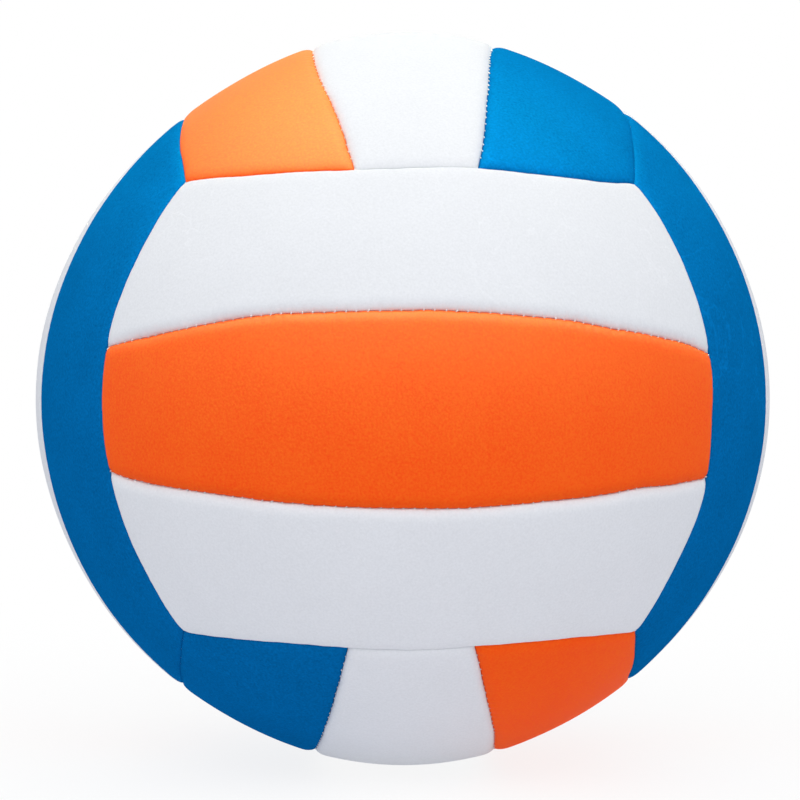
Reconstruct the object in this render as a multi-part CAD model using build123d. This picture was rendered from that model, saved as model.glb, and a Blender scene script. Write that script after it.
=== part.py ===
from build123d import *
import os
from math import acos, atan, atan2, cos, degrees, hypot, radians, sin, sqrt, tan

# A sewn indoor volleyball, 66 cm around. Millimetres, origin at the middle of the ball, +Z up.
# The front group of panels faces -Y, and the valve is in the middle of the back group, along +Y.

# The ball
ball_diameter = 210.0
ball_radius = ball_diameter / 2
cut_overrun = 5.0

# The panel layout: six groups of three strips. Angles in degrees, seen from the middle of the ball.
# From the middle of a group to the middle of the seam at its strips' ends
group_end_angle = 52.6
# From the middle of a group to the seam beside its middle strip
strip_seam_angle = 14.3

# The cover laminate: a skin that turns in at the seams, and the foam that it is drawn over
skin_thickness = 1.0
skin_gap_at_seam = 0.1
foam_thickness = 3.5
foam_edge_round = 1.1
foam_gap_to_skin = 0.1

# The bladder
bladder_thickness = 1.0
bladder_gap_to_foam = 0.2

# The sewing thread, which lies in the valley of each seam
thread_diameter = 0.8
thread_gap_to_skin = 0.1

# The valve plug, its needle hole and the slit below the hole
plug_diameter = 5.0
plug_length = 15.0
plug_gap_to_stem = 0.05
plug_head_diameter = 6.6
plug_head_thickness = 1.0
plug_head_gap = 0.1
plug_head_recess = 0.3
needle_hole_diameter = 2.2
needle_lead_in = 0.4
slit_width = 0.3
slit_depth = 6.6

# The valve stem: a flange on the bladder, a boss inside that holds the plug and a nub outside round its head
boss_wall = 3.45
boss_depth = 14.0
boss_gap_to_bladder = 0.1
flange_rim = 9.0
flange_thickness = 1.2
flange_gap_to_bladder = 0.05
nub_wall = 1.1
nub_recess = 0.6
nub_gap_to_cover = 0.25
stem_edge_round = 0.4

# The cloth patch between the flange and the foam
patch_rim = 4.0
patch_thickness = 0.8
patch_gap = 0.1

# Edges of the skin, drawn over the foam
skin_inner_round = foam_edge_round + foam_gap_to_skin
skin_edge_round = skin_inner_round + skin_thickness

# Radii about the valve's axis
plug_radius = plug_diameter / 2
plug_head_radius = plug_head_diameter / 2
needle_hole_radius = needle_hole_diameter / 2
boss_radius = plug_radius + plug_gap_to_stem + boss_wall
nub_radius = plug_head_radius + plug_head_gap + nub_wall
flange_radius = boss_radius + flange_rim
patch_radius = flange_radius + patch_rim

# Radii of the layers, from the middle of the ball
foam_outer_radius = ball_radius - skin_thickness - foam_gap_to_skin
cover_inner_radius = foam_outer_radius - foam_thickness
bladder_radius = cover_inner_radius - bladder_gap_to_foam
flange_inner_radius = bladder_radius + flange_gap_to_bladder
flange_outer_radius = flange_inner_radius + flange_thickness
patch_inner_radius = flange_outer_radius + patch_gap
patch_outer_radius = patch_inner_radius + patch_thickness
pocket_radius = patch_outer_radius + patch_gap

# Heights along the valve's axis, from the middle of the ball
nub_top = ball_radius - nub_recess
boss_end = bladder_radius - boss_depth
plug_top = nub_top - plug_head_recess
plug_seat = plug_top - plug_head_thickness
plug_end = plug_seat - plug_length
needle_hole_end = plug_end + slit_depth

# The seam at a strip's end is a circle on the ball. It passes through the group's two corners at that end, which
# are corners of a cube, and through the seam's middle. Its axis leans back from the group's middle by the tilt.
corner_share = 1 / sqrt(3)
end_rise = cos(radians(group_end_angle)) - corner_share
end_reach = sin(radians(group_end_angle)) - corner_share
end_circle_tilt = degrees(atan2(end_rise, end_reach))
end_circle_angle = degrees(acos((end_reach - end_rise) * corner_share / hypot(end_reach, end_rise)))

# Each group: the way its strips run, the way it faces and its strips' names, from the side that lies
# on the left when looking along the strips from outside
groups = {
    "front": ((1, 0, 0), (0, -1, 0), ("upper", "middle", "lower")),
    "back": ((-1, 0, 0), (0, 1, 0), ("upper", "middle", "lower")),
    "top": ((0, 1, 0), (0, 0, 1), ("left", "middle", "right")),
    "bottom": ((0, 1, 0), (0, 0, -1), ("right", "middle", "left")),
    "left": ((0, 0, 1), (-1, 0, 0), ("back", "middle", "front")),
    "right": ((0, 0, 1), (1, 0, 0), ("front", "middle", "back")),
}


def place_of(group):
    """The place of a group that is modelled facing +Z with its strips along X."""
    along, facing, _ = groups[group]
    return Plane(origin=(0, 0, 0), x_dir=along, z_dir=facing).location


def ball_blank(radius):
    """A ball whose poles and seam line lie outside the group that faces +Z."""
    return Rot(Y=90) * Sphere(radius)


def rod(radius, low, high):
    """A round bar on the valve's axis between two heights."""
    bar = Cylinder(radius, high - low, align=(Align.CENTER, Align.CENTER, Align.MIN))
    return Pos(0, 0, low) * bar


def curved_disc(radius, inner_radius, outer_radius):
    """A round piece of a shell, on the valve's axis."""
    shell = ball_blank(outer_radius) - ball_blank(inner_radius)
    return shell & rod(radius, 0, outer_radius + cut_overrun)


def seam_ball(inset):
    """A ball on +Z that meets the volleyball at a right angle, along an end seam's circle.

    Its own seam line faces -X, away from the strips that it cuts.
    """
    turn = radians(end_circle_angle)
    return Pos(0, 0, ball_radius / cos(turn)) * Rot(Z=180) * Sphere(ball_radius * tan(turn) + inset)


def seam_plane(side):
    """The plane of the seam on the +Y or -Y side of the middle strip, facing away from that strip."""
    turn = radians(strip_seam_angle)
    return Plane(origin=(0, 0, 0), x_dir=(1, 0, 0), z_dir=(0, side * cos(turn), -sin(turn)))


def strip_block(middle, outer_radius, inner_radius, inset, edge_round):
    """One strip of the group that faces +Z, drawn in from its seams and rounded along its outer edges.

    The strip is the group's middle one, or else the one on its +Y side.
    """
    shell = ball_blank(outer_radius) - ball_blank(inner_radius)
    end = Rot(Y=-end_circle_tilt) * seam_ball(-inset)
    block = shell & end & (Rot(Z=180) * end)
    if middle:
        for side in (1, -1):
            block = split(block, bisect_by=seam_plane(side).offset(-inset), keep=Keep.BOTTOM)
    else:
        block = split(block, bisect_by=seam_plane(1).offset(inset), keep=Keep.TOP)
        block -= Rot(X=-90 - end_circle_tilt) * Rot(Z=90) * seam_ball(inset)
    outer_face = block.faces().filter_by(GeomType.SPHERE).sort_by(SortBy.AREA)[-1]
    return fillet(outer_face.edges(), edge_round)


def cover_skin(middle):
    """A strip's skin: a thin tray whose edges turn in at the seams."""
    outside = strip_block(middle, ball_radius, cover_inner_radius, skin_gap_at_seam, skin_edge_round)
    inside = strip_block(
        middle,
        ball_radius - skin_thickness,
        cover_inner_radius - cut_overrun,
        skin_gap_at_seam + skin_thickness,
        skin_inner_round,
    )
    return outside - inside


def foam_pad(middle):
    """The foam that fills a strip's skin."""
    inset = skin_gap_at_seam + skin_thickness + foam_gap_to_skin
    return strip_block(middle, foam_outer_radius, cover_inner_radius, inset, foam_edge_round)


def cut_for_valve(skin, pad):
    """The back middle strip's skin and pad with the hole for the nub and the pocket for flange and patch."""
    hole = rod(nub_radius + nub_gap_to_cover, 0, ball_radius + cut_overrun)
    pocket = curved_disc(patch_radius + patch_gap, cover_inner_radius - cut_overrun, pocket_radius)
    return skin - hole, pad - hole - pocket


def bladder():
    """The rubber bladder, with the hole that the stem's boss goes through."""
    wall = ball_blank(bladder_radius) - ball_blank(bladder_radius - bladder_thickness)
    return wall - rod(boss_radius + boss_gap_to_bladder, 0, ball_radius)


def valve_stem():
    """The flange on the bladder with the boss below it and the nub above, bored for the plug."""
    stem = curved_disc(flange_radius, flange_inner_radius, flange_outer_radius)
    boss = rod(boss_radius, boss_end, flange_outer_radius - stem_edge_round)
    boss = fillet(boss.edges().group_by(Axis.Z)[0], stem_edge_round)
    nub = rod(nub_radius, flange_inner_radius, nub_top)
    nub = fillet(nub.edges().group_by(Axis.Z)[-1], stem_edge_round)
    stem = stem + boss + nub
    stem -= rod(plug_radius + plug_gap_to_stem, boss_end - cut_overrun, nub_top)
    return stem - rod(plug_head_radius + plug_head_gap, plug_seat, nub_top + cut_overrun)


def valve_patch():
    """The cloth ring round the nub, between the flange and the foam."""
    disc = curved_disc(patch_radius, patch_inner_radius, patch_outer_radius)
    return disc - rod(nub_radius + patch_gap, 0, ball_radius)


def valve_plug():
    """The plug with its needle hole, blind but for a slit at the bottom."""
    plug = rod(plug_radius, plug_end, plug_seat) + rod(plug_head_radius, plug_seat, plug_top)
    plug -= rod(needle_hole_radius, needle_hole_end, plug_top)
    mouth = plug.edges().filter_by(GeomType.CIRCLE).group_by(Axis.Z)[-1].sort_by(SortBy.RADIUS)[0]
    plug = chamfer(mouth, needle_lead_in)
    slit_height = slit_depth + cut_overrun
    slit = Box(needle_hole_diameter, slit_width, slit_height, align=(Align.CENTER, Align.CENTER, Align.MAX))
    return plug - Pos(0, 0, needle_hole_end) * slit


def thread_arc(arc_radius, half_span):
    """A length of thread bent round Z, half of it on each side of +X."""
    section = Plane.XZ * Pos(arc_radius, 0) * Circle(thread_diameter / 2)
    return Rot(Z=-half_span) * revolve(section, axis=Axis.Z, revolution_arc=2 * half_span)


def thread_radius_in_valley():
    """How far from the ball's middle the thread lies on the two rounded edges of a seam."""
    edge_to_thread = skin_edge_round + thread_diameter / 2 + thread_gap_to_skin
    edge_to_seam = skin_edge_round + skin_gap_at_seam
    return ball_radius - skin_edge_round + sqrt(edge_to_thread**2 - edge_to_seam**2)


def strip_seam_thread():
    """The thread in the seam on the +Y side of a middle strip, ending where the next seam's valley begins."""
    turn = radians(strip_seam_angle)
    rise = cos(radians(end_circle_tilt)) * cos(turn)
    fall = sin(radians(end_circle_tilt))
    to_seam = degrees(acos(cos(radians(end_circle_angle)) / hypot(rise, fall)) - atan2(fall, rise))
    tube = thread_arc(thread_radius_in_valley(), to_seam - degrees(skin_edge_round / ball_radius))
    seam = Plane(origin=(0, 0, 0), x_dir=(0, sin(turn), cos(turn)), z_dir=(0, cos(turn), -sin(turn)))
    return seam.location * tube


def end_seam_thread():
    """The thread in the seam at a group's +X end, ending just short of the corners."""
    circle_turn = radians(end_circle_angle)
    tilt_turn = radians(end_circle_tilt)
    arc_radius = thread_radius_in_valley() * sin(circle_turn)
    to_corner = degrees(atan(1 / (cos(tilt_turn) + sin(tilt_turn))))
    tube = thread_arc(arc_radius, to_corner - degrees(thread_diameter / arc_radius))
    return Rot(Y=-end_circle_tilt) * Pos(0, 0, thread_radius_in_valley() * cos(circle_turn)) * tube


def on_every_group(thread):
    """Copies of a group's seam thread, at both of its sides or ends, on all six groups."""
    half_turn = Rot(Z=180)
    copies = []
    for group in groups:
        copies.append(place_of(group) * thread)
        copies.append(place_of(group) * half_turn * thread)
    return Compound(children=copies)


def cover_nodes():
    """Every strip's skin and pad, by name."""
    half_turn = Rot(Z=180)
    middle = (cover_skin(True), foam_pad(True))
    side = (cover_skin(False), foam_pad(False))
    other_side = tuple(half_turn * piece for piece in side)
    nodes = {}
    for group, (_, _, strips) in groups.items():
        for strip, pair in zip(strips, (side, middle, other_side)):
            skin, pad = cut_for_valve(*pair) if (group, strip) == ("back", "middle") else pair
            nodes[f"{group}_{strip}_skin"] = place_of(group) * skin
            nodes[f"{group}_{strip}_pad"] = place_of(group) * pad
    return nodes


def main():
    """Builds every node and writes it to its own file."""
    valve_place = place_of("back")
    nodes = cover_nodes()
    nodes["bladder"] = valve_place * bladder()
    nodes["valve_stem"] = valve_place * valve_stem()
    nodes["valve_patch"] = valve_place * valve_patch()
    nodes["valve_plug"] = valve_place * valve_plug()
    nodes["strip_seam_threads"] = on_every_group(strip_seam_thread())
    nodes["group_seam_threads"] = on_every_group(end_seam_thread())
    os.makedirs("parts", exist_ok=True)
    for name, node in nodes.items():
        export_step(node, f"parts/{name}.step")


main()
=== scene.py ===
"""A sewn volleyball: eighteen padded cover strips, their stitched seams, the bladder and the valve.

Metres, with the origin at the middle of the ball and +Z up. The front group of strips faces -Y, and the
valve is in the middle of the back group, at +Y.
"""

import logging
import math
from dataclasses import dataclass, field
from enum import Enum
from typing import Sequence

import bmesh
import bpy
import numpy as np
from mathutils import Matrix, Vector


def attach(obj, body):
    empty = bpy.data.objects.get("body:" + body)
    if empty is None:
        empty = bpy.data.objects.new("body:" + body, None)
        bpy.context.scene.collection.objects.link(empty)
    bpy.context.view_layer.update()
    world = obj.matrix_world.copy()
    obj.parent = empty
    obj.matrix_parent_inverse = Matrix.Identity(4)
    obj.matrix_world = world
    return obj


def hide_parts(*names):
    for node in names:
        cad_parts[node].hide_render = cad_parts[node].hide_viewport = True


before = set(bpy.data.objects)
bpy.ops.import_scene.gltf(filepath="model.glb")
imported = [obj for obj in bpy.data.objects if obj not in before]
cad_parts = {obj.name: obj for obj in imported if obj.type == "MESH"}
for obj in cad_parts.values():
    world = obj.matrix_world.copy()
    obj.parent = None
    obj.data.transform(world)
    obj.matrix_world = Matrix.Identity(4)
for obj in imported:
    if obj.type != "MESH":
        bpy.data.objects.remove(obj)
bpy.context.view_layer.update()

log = logging.getLogger("volleyball")

Array = np.ndarray
Colour = tuple[float, float, float]
Place = tuple[float, float, float]
Range = tuple[float, float]

MM = 0.001
BALL_RADIUS = 105 * MM
COVER_INNER_RADIUS = 100.4 * MM
VALVE_HOLE_RADIUS = 4.75 * MM
VALVE_WAY = np.array([0.0, 1.0, 0.0])
# Points of a mesh that are closer than this are one point
JOIN_DISTANCE = 1e-7
# Keeps a division by a sum of shares away from zero
LEAST_SUM = 1e-12
# The share of a ring halfway between two others
HALFWAY = (0.5,)
# What noise varies about
NOISE_MIDDLE = 0.5
WHITE: Colour = (1.0, 1.0, 1.0)
BLACK: Colour = (0.0, 0.0, 0.0)


# Shader maths

# The sockets of a Mix node that mixes colours
MIX_FACTOR = 0
MIX_LOW = 6
MIX_HIGH = 7
MIX_RESULT = 2


class Value:
    """A number that changes over a surface: a socket with the operators of shader maths."""

    def __init__(self, graph: "Graph", socket: bpy.types.NodeSocket) -> None:
        """Wraps a socket of a graph's node."""
        self.graph = graph
        self.socket = socket

    def __add__(self, other: "Value | float") -> "Value":
        """Adds a number or another value."""
        return self.graph.maths("ADD", self, other)

    def __radd__(self, other: float) -> "Value":
        """Adds this value to a number."""
        return self.graph.maths("ADD", other, self)

    def __sub__(self, other: "Value | float") -> "Value":
        """Takes a number or another value away."""
        return self.graph.maths("SUBTRACT", self, other)

    def __rsub__(self, other: float) -> "Value":
        """Takes this value away from a number."""
        return self.graph.maths("SUBTRACT", other, self)

    def __mul__(self, other: "Value | float") -> "Value":
        """Multiplies by a number or another value."""
        return self.graph.maths("MULTIPLY", self, other)

    def __rmul__(self, other: float) -> "Value":
        """Multiplies a number by this value."""
        return self.graph.maths("MULTIPLY", other, self)

    def __pow__(self, other: "Value | float") -> "Value":
        """Raises to a power."""
        return self.graph.maths("POWER", self, other)

    def __rpow__(self, other: float) -> "Value":
        """Raises a number to this power."""
        return self.graph.maths("POWER", other, self)

    def __abs__(self) -> "Value":
        """The size of the value without its sign."""
        return self.graph.maths("ABSOLUTE", self)

    def sine(self) -> "Value":
        """The sine of the value, in radians."""
        return self.graph.maths("SINE", self)

    def clamped(self) -> "Value":
        """The value held between 0 and 1."""
        return self.graph.wrap(self.graph.node("ShaderNodeClamp", {}, {"Value": self}), "Result")

    def centred(self) -> "Value":
        """Noise that varies about 0."""
        return self - NOISE_MIDDLE

    def smooth(self, low: float, high: float) -> "Value":
        """A smooth step.

        Args:
            low: up to where it is 0.
            high: from where it is 1.

        Returns:
            The step.
        """
        settings = {"interpolation_type": "SMOOTHSTEP"}
        sockets = {"Value": self, "From Min": low, "From Max": high}
        return self.graph.wrap(self.graph.node("ShaderNodeMapRange", settings, sockets), "Result")


class Graph:
    """The nodes of one material or world, emptied and built up from code."""

    def __init__(self, tree: bpy.types.NodeTree) -> None:
        """Empties the node tree that the graph builds in."""
        tree.nodes.clear()
        self.tree = tree

    def node(self, kind: str, settings: dict, sockets: dict) -> bpy.types.Node:
        """Adds a node.

        Args:
            kind: the node's type.
            settings: its own settings, which are set first.
            sockets: values or links of its inputs, by name or number.

        Returns:
            The new node.
        """
        made = self.tree.nodes.new(kind)
        for name, setting in settings.items():
            setattr(made, name, setting)
        for name, given in sockets.items():
            socket = made.inputs[name]
            if isinstance(given, Value):
                self.tree.links.new(given.socket, socket)
            elif isinstance(given, bpy.types.NodeSocket):
                self.tree.links.new(given, socket)
            else:
                socket.default_value = given
        return made

    def wrap(self, node: bpy.types.Node, output: str | int) -> Value:
        """One output of a node as a value."""
        return Value(self, node.outputs[output])

    def maths(self, operation: str, *terms: Value | float) -> Value:
        """A Math node on one or two terms."""
        sockets = dict(enumerate(terms))
        return self.wrap(self.node("ShaderNodeMath", {"operation": operation}, sockets), 0)

    def place(self) -> bpy.types.NodeSocket:
        """The place of a point on the piece, in metres."""
        return self.node("ShaderNodeTexCoord", {}, {}).outputs["Object"]

    def parts(self, vector: bpy.types.NodeSocket) -> tuple[Value, Value, Value]:
        """The three numbers of a vector."""
        split = self.node("ShaderNodeSeparateXYZ", {}, {"Vector": vector})
        return self.wrap(split, 0), self.wrap(split, 1), self.wrap(split, 2)

    def noise(
        self, vector: bpy.types.NodeSocket, size: float, detail: float = 2.0, twist: float = 0.0
    ) -> Value:
        """Cloudy noise.

        Args:
            vector: where it is read.
            size: how wide its clouds are, in metres.
            detail: how many finer layers it has.
            twist: how far it is distorted.

        Returns:
            A value about 0.5, mostly between 0.25 and 0.75.
        """
        sockets = {"Vector": vector, "Scale": 1 / size, "Detail": detail, "Distortion": twist}
        return self.wrap(self.node("ShaderNodeTexNoise", {}, sockets), 0)

    def cells(self, vector: bpy.types.NodeSocket, size: float) -> Value:
        """How far a point is from the middle of its cell, for cells of that size in metres."""
        sockets = {"Vector": vector, "Scale": 1 / size}
        return self.wrap(self.node("ShaderNodeTexVoronoi", {}, sockets), "Distance")

    def blend(self, low: Colour, high: Colour, factor: Value) -> bpy.types.NodeSocket:
        """A colour between two others."""
        sockets = {MIX_FACTOR: factor, MIX_LOW: (*low, 1.0), MIX_HIGH: (*high, 1.0)}
        return self.node("ShaderNodeMix", {"data_type": "RGBA"}, sockets).outputs[MIX_RESULT]

    def shades(self, colour: Colour, shares: Range, tone: Value) -> bpy.types.NodeSocket:
        """A colour between two shades of another, which are shares of it."""
        return self.blend(scaled(colour, shares[0]), scaled(colour, shares[1]), tone.clamped())

    def bump(self, height: Value, distance: float, strength: float) -> bpy.types.NodeSocket:
        """A normal that is tilted by a height, which is in units of the distance in metres."""
        sockets = {"Height": height, "Distance": distance, "Strength": strength}
        return self.node("ShaderNodeBump", {}, sockets).outputs["Normal"]

    def mixed(self, factor: Value, first: bpy.types.Node, second: bpy.types.Node) -> bpy.types.Node:
        """Two shaders mixed: the first at a factor of 0, the second at 1."""
        return self.node("ShaderNodeMixShader", {}, {0: factor, 1: first.outputs[0], 2: second.outputs[0]})

    def surface(self, sockets: dict) -> None:
        """Ends a material with a Principled surface."""
        shader = self.node("ShaderNodeBsdfPrincipled", {}, sockets)
        self.node("ShaderNodeOutputMaterial", {}, {"Surface": shader.outputs[0]})


def new_graph(name: str) -> tuple[bpy.types.Material, Graph]:
    """Makes a material.

    Args:
        name: the material's name.

    Returns:
        The material and the graph that builds it.
    """
    material = bpy.data.materials.new(name)
    material.use_nodes = True
    return material, Graph(material.node_tree)


def scaled(colour: Colour, by: float) -> Colour:
    """A colour made lighter or darker, with no part over 1."""
    return tuple(min(part * by, 1.0) for part in colour)


def spread(colour: Colour, share: float) -> tuple[Colour, Colour]:
    """A darker and a lighter colour that are a share apart from one colour and even out to it."""
    light = scaled(colour, 1 + share)
    return tuple(2 * part - top for part, top in zip(colour, light)), light


# Finishes


@dataclass(frozen=True)
class SoftTouchSkin:
    """Matte synthetic leather with a fine grain, faint creases and a soft sheen."""

    slot: str
    colour: Colour
    grain_size: float = 0.6 * MM
    pebble_size: float = 0.9 * MM
    mottle_size: float = 17 * MM
    crease_size: float = 24 * MM
    creased_size: float = 72 * MM
    # Where a mark begins and ends in its noise
    pebble_range: Range = (0.1, 0.75)
    crease_range: Range = (0.0, 0.010)
    creased_range: Range = (0.52, 0.66)
    # How much each mark changes the colour
    grain_share: float = 0.38
    middle_tone: float = 0.56
    grain_tone: float = 1.3
    mottle_tone: float = 0.4
    crease_tone: float = 0.30
    pebble_tone: float = 0.12
    # How high each mark stands, in bump heights
    bump_height: float = 0.05 * MM
    bump_strength: float = 0.6
    grain_relief: float = 0.8
    pebble_relief: float = 0.5
    mottle_relief: float = 2.0
    crease_relief: float = 0.7
    # How much each mark changes the roughness
    roughness: float = 0.66
    grain_rough: float = 0.22
    mottle_rough: float = 0.12
    crease_rough: float = 0.05
    shine: float = 0.11
    shine_colour: Colour = WHITE
    pearl: float = 0.0
    sheen: float = 0.03
    sheen_roughness: float = 0.45

    def make(self) -> bpy.types.Material:
        """Builds the skin's material.

        Returns:
            The material.
        """
        material, graph = new_graph(self.slot)
        place = graph.place()
        grain = graph.noise(place, self.grain_size, detail=1.5)
        pebbles = graph.cells(place, self.pebble_size).smooth(*self.pebble_range)
        mottle = graph.noise(place, self.mottle_size, detail=3.0)
        folds = abs(graph.noise(place, self.crease_size, detail=4.0, twist=0.7).centred())
        creased = graph.noise(place, self.creased_size, detail=1.0).smooth(*self.creased_range)
        crease = (1 - folds.smooth(*self.crease_range)) * creased
        tone = self.middle_tone + grain.centred() * self.grain_tone + mottle.centred() * self.mottle_tone
        tone = tone + crease * self.crease_tone - pebbles * self.pebble_tone
        dark, light = spread(self.colour, self.grain_share)
        height = grain * self.grain_relief - pebbles * self.pebble_relief
        height = height + mottle * self.mottle_relief - crease * self.crease_relief
        rough = self.roughness + grain.centred() * self.grain_rough + mottle.centred() * self.mottle_rough
        rough = rough - crease * self.crease_rough
        graph.surface({
            "Base Color": graph.blend(dark, light, tone.clamped()),
            "Roughness": rough.clamped(),
            "Normal": graph.bump(height, self.bump_height, self.bump_strength),
            "Metallic": self.pearl,
            "Specular IOR Level": self.shine,
            "Specular Tint": (*self.shine_colour, 1.0),
            "Sheen Weight": self.sheen,
            "Sheen Roughness": self.sheen_roughness,
            "Sheen Tint": (*self.colour, 1.0),
        })
        return material


@dataclass(frozen=True)
class CellFoam:
    """Pale closed-cell foam with a knitted backing."""

    slot: str = "foam"
    colour: Colour = (0.78, 0.75, 0.66)
    shades: Range = (0.82, 1.12)
    cell_size: float = 0.55 * MM
    cloud_size: float = 9 * MM
    rib_size: float = 1.1 * MM
    cell_range: Range = (0.05, 0.7)
    middle_tone: float = 0.55
    cloud_tone: float = 0.9
    cell_tone: float = 0.25
    knit_tone: float = 0.08
    bump_height: float = 0.10 * MM
    bump_strength: float = 0.7
    knit_relief: float = 0.6
    roughness: float = 0.86
    cell_rough: float = 0.08
    shine: float = 0.2
    sheen: float = 0.15

    def make(self) -> bpy.types.Material:
        """Builds the foam's material.

        Returns:
            The material.
        """
        material, graph = new_graph(self.slot)
        place = graph.place()
        cell = graph.cells(place, self.cell_size).smooth(*self.cell_range)
        cloud = graph.noise(place, self.cloud_size, detail=3.0)
        along, across, up = graph.parts(place)
        turn = 2 * math.pi / self.rib_size
        knit = (along * turn).sine() * (across * turn).sine() * (up * turn).sine()
        tone = self.middle_tone + cloud.centred() * self.cloud_tone
        tone = tone - cell * self.cell_tone + knit * self.knit_tone
        height = knit * self.knit_relief - cell
        graph.surface({
            "Base Color": graph.shades(self.colour, self.shades, tone),
            "Roughness": (self.roughness + cell * self.cell_rough).clamped(),
            "Normal": graph.bump(height, self.bump_height, self.bump_strength),
            "Specular IOR Level": self.shine,
            "Sheen Weight": self.sheen,
        })
        return material


@dataclass(frozen=True)
class MouldedRubber:
    """Dark moulded rubber with a fine grain and pale bloom."""

    slot: str
    colour: Colour
    roughness: float
    shades: Range = (1.0, 2.6)
    grain_size: float = 0.25 * MM
    bloom_size: float = 2.6 * MM
    bloom_range: Range = (0.45, 0.8)
    middle_tone: float = 0.1
    bloom_tone: float = 0.55
    grain_tone: float = 0.5
    bump_height: float = 0.03 * MM
    bump_strength: float = 0.5
    bloom_relief: float = 0.4
    bloom_rough: float = 0.14
    grain_rough: float = 0.2
    shine: float = 0.45

    def make(self) -> bpy.types.Material:
        """Builds the rubber's material.

        Returns:
            The material.
        """
        material, graph = new_graph(self.slot)
        place = graph.place()
        grain = graph.noise(place, self.grain_size, detail=2.0)
        bloom = graph.noise(place, self.bloom_size, detail=4.0).smooth(*self.bloom_range)
        tone = bloom * self.bloom_tone + grain.centred() * self.grain_tone + self.middle_tone
        rough = self.roughness + bloom * self.bloom_rough + grain.centred() * self.grain_rough
        height = grain + bloom * self.bloom_relief
        graph.surface({
            "Base Color": graph.shades(self.colour, self.shades, tone),
            "Roughness": rough.clamped(),
            "Normal": graph.bump(height, self.bump_height, self.bump_strength),
            "Specular IOR Level": self.shine,
        })
        return material


@dataclass(frozen=True)
class SewingThread:
    """Waxed thread with a visible twist."""

    slot: str = "thread"
    colour: Colour = (0.80, 0.79, 0.80)
    shades: Range = (0.78, 1.1)
    ply_size: float = 0.32 * MM
    ply_across: float = 0.8
    ply_up: float = 0.9
    fuzz_size: float = 0.12 * MM
    middle_tone: float = 0.6
    ply_tone: float = 0.25
    fuzz_tone: float = 0.8
    bump_height: float = 0.05 * MM
    bump_strength: float = 0.7
    fuzz_relief: float = 0.5
    roughness: float = 0.7
    fuzz_rough: float = 0.3
    shine: float = 0.3
    sheen: float = 0.2

    def make(self) -> bpy.types.Material:
        """Builds the thread's material.

        Returns:
            The material.
        """
        material, graph = new_graph(self.slot)
        place = graph.place()
        along, across, up = graph.parts(place)
        turn = 2 * math.pi / self.ply_size
        ply = ((along + across * self.ply_across - up * self.ply_up) * turn).sine()
        fuzz = graph.noise(place, self.fuzz_size, detail=2.0)
        tone = self.middle_tone + ply * self.ply_tone + fuzz.centred() * self.fuzz_tone
        height = ply + fuzz * self.fuzz_relief
        graph.surface({
            "Base Color": graph.shades(self.colour, self.shades, tone),
            "Roughness": (self.roughness + fuzz.centred() * self.fuzz_rough).clamped(),
            "Normal": graph.bump(height, self.bump_height, self.bump_strength),
            "Specular IOR Level": self.shine,
            "Sheen Weight": self.sheen,
        })
        return material


@dataclass(frozen=True)
class WovenCloth:
    """Plain-woven cotton cloth."""

    slot: str = "patch_cloth"
    colour: Colour = (0.70, 0.68, 0.62)
    shades: Range = (0.72, 1.12)
    yarn_size: float = 0.8 * MM
    slub_size: float = 1.5 * MM
    middle_tone: float = 0.4
    weave_tone: float = 0.15
    yarn_tone: float = 0.25
    slub_tone: float = 0.8
    bump_height: float = 0.15 * MM
    bump_strength: float = 0.8
    weave_relief: float = 0.5
    roughness: float = 0.85
    slub_rough: float = 0.2
    shine: float = 0.2
    sheen: float = 0.2

    def make(self) -> bpy.types.Material:
        """Builds the cloth's material.

        Returns:
            The material.
        """
        material, graph = new_graph(self.slot)
        place = graph.place()
        warp, _, weft = graph.parts(place)
        turn = math.pi / self.yarn_size
        weave = (warp * turn).sine() * (weft * turn).sine()
        yarn = abs((warp * turn).sine()) * 0.5 + abs((weft * turn).sine()) * 0.5
        slub = graph.noise(place, self.slub_size, detail=3.0)
        tone = self.middle_tone + weave * self.weave_tone + yarn * self.yarn_tone
        tone = tone + slub.centred() * self.slub_tone
        height = weave * self.weave_relief + yarn
        graph.surface({
            "Base Color": graph.shades(self.colour, self.shades, tone),
            "Roughness": (self.roughness + slub.centred() * self.slub_rough).clamped(),
            "Normal": graph.bump(height, self.bump_height, self.bump_strength),
            "Specular IOR Level": self.shine,
            "Sheen Weight": self.sheen,
        })
        return material


class Skin(Enum):
    """The three colours of cover strip."""

    WHITE = SoftTouchSkin(
        "skin_white",
        (0.79, 0.80, 0.82),
        grain_share=0.05,
        bump_height=0.03 * MM,
        shine=0.002,
    )
    ORANGE = SoftTouchSkin("skin_orange", (0.99, 0.099, 0.006), shine_colour=(1.0, 0.95, 0.4))
    BLUE = SoftTouchSkin(
        "skin_blue",
        (0.001, 0.129, 0.375),
        grain_share=0.28,
        shine=0.0,
        shine_colour=(0.0, 1.0, 1.0),
        pearl=0.045,
    )


class Fitting(Enum):
    """The finishes of what the cover holds."""

    FOAM = CellFoam()
    BLADDER = MouldedRubber("bladder_rubber", (0.02, 0.02, 0.022), 0.55)
    STEM = MouldedRubber("valve_rubber", (0.03, 0.03, 0.032), 0.5)
    PLUG = MouldedRubber("plug_rubber", (0.05, 0.05, 0.052), 0.4)
    PATCH = WovenCloth()
    THREAD = SewingThread()


class Wardrobe:
    """Makes each finish once and dresses pieces in it."""

    def __init__(self) -> None:
        """Starts with nothing made."""
        self.made: dict[str, bpy.types.Material] = {}

    def dress(self, piece: bpy.types.Object, finish: Skin | Fitting) -> None:
        """Gives a piece a finish and names the material slot that it comes from.

        Args:
            piece: the piece.
            finish: what it is dressed in.
        """
        slot = finish.value.slot
        if slot not in self.made:
            self.made[slot] = finish.value.make()
        piece.data.materials.clear()
        piece.data.materials.append(self.made[slot])


# The shape of the cover


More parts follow.
